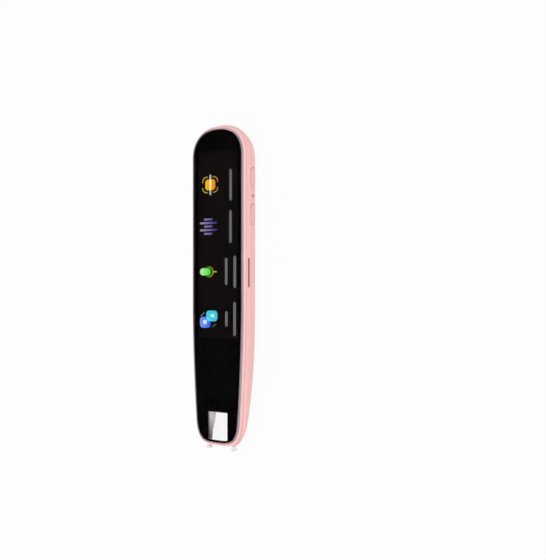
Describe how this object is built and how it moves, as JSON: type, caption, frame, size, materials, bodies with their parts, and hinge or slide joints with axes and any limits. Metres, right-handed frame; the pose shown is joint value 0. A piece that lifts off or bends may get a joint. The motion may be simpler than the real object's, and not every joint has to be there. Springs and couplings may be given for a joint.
{
  "type": "scanning translator pen",
  "caption": "Slim handheld translator pen with a full-length display, a see-through scan notch with a spring-loaded tip trigger, side keys, a card slot and a rear speaker.",
  "frame": {"origin": "middle of the pen's bounding box, at the underside of the speaker pad that it lies on", "axes": "+X towards the side with the keys, +Y along the pen towards its top end with the charging port, +Z out of the glass"},
  "size_m": [0.031, 0.1472, 0.0144],
  "materials": {
    "pink_shell": "satin moulded",
    "pale_pink_frame": "satin moulded",
    "clear_glass": "polished, clear",
    "black_print": "gloss black ink",
    "display": "dark polarised face",
    "steel_sheet": "stamped, satin",
    "circuit_board": "solder mask",
    "chip_black": "moulded, matte",
    "connector_ivory": "moulded, matte",
    "flex_amber": "satin film",
    "battery_foil": "matte foil",
    "white_tape": "matte film",
    "pink_pad": "satin moulded",
    "rose_mesh": "fine woven mesh",
    "dark_plastic": "moulded, matte",
    "pink_button": "satin moulded",
    "switch_metal": "satin",
    "boot_rubber": "matte",
    "lens_glass": "polished",
    "light_phosphor": "satin",
    "pane_clear": "polished, clear",
    "trigger_translucent": "satin, translucent",
    "spring_steel": "bright wire"
  },
  "bodies": {
    "casing": {"rear_shell": "pink_shell", "front_frame": "pale_pink_frame", "cover_glass": "clear_glass", "black_print": "black_print", "display_panel": "display", "display_bracket": "steel_sheet", "display_flex": "flex_amber", "main_board": "circuit_board", "board_chips": "chip_black", "board_connectors": "connector_ivory", "shield_can": "steel_sheet", "case_screws": "steel_sheet", "battery": "battery_foil", "battery_tape": "white_tape", "battery_leads": "switch_metal", "speaker_cover": "pink_pad", "speaker_mesh": "rose_mesh", "speaker_basket": "dark_plastic", "speaker_cone": "chip_black", "key_board": "circuit_board", "key_switches": "switch_metal", "microphone": "switch_metal", "mic_boot": "boot_rubber", "card_socket": "steel_sheet", "usb_shell": "switch_metal", "usb_tongue": "chip_black", "optics_holder": "dark_plastic", "scan_camera": "chip_black", "camera_lens": "lens_glass", "camera_flex": "flex_amber", "light_board": "circuit_board", "scan_lights": "light_phosphor", "scan_pane": "pane_clear", "trigger_springs": "spring_steel", "trigger_switch": "dark_plastic"},
    "power_key": {"power_button": "pink_button", "power_plunger": "chip_black"},
    "mode_key": {"mode_button": "pink_button", "mode_plunger": "chip_black"},
    "tip_trigger": {"trigger_slider": "trigger_translucent", "trigger_plunger": "connector_ivory"}
  },
  "joints": [
    {"name": "power_button_press", "type": "slide", "parent": "casing", "child": "power_key", "axis": [-1, 0, 0], "range_m": [0, 0.00035], "stiffness_N_per_m": 1500},
    {"name": "mode_button_press", "type": "slide", "parent": "casing", "child": "mode_key", "axis": [-1, 0, 0], "range_m": [0, 0.00035], "stiffness_N_per_m": 1500},
    {"name": "tip_trigger_press", "type": "slide", "parent": "casing", "child": "tip_trigger", "axis": [0, 1, 0], "range_m": [0, 0.0008], "stiffness_N_per_m": 1000, "deforming": ["trigger_springs"]}
  ]
}
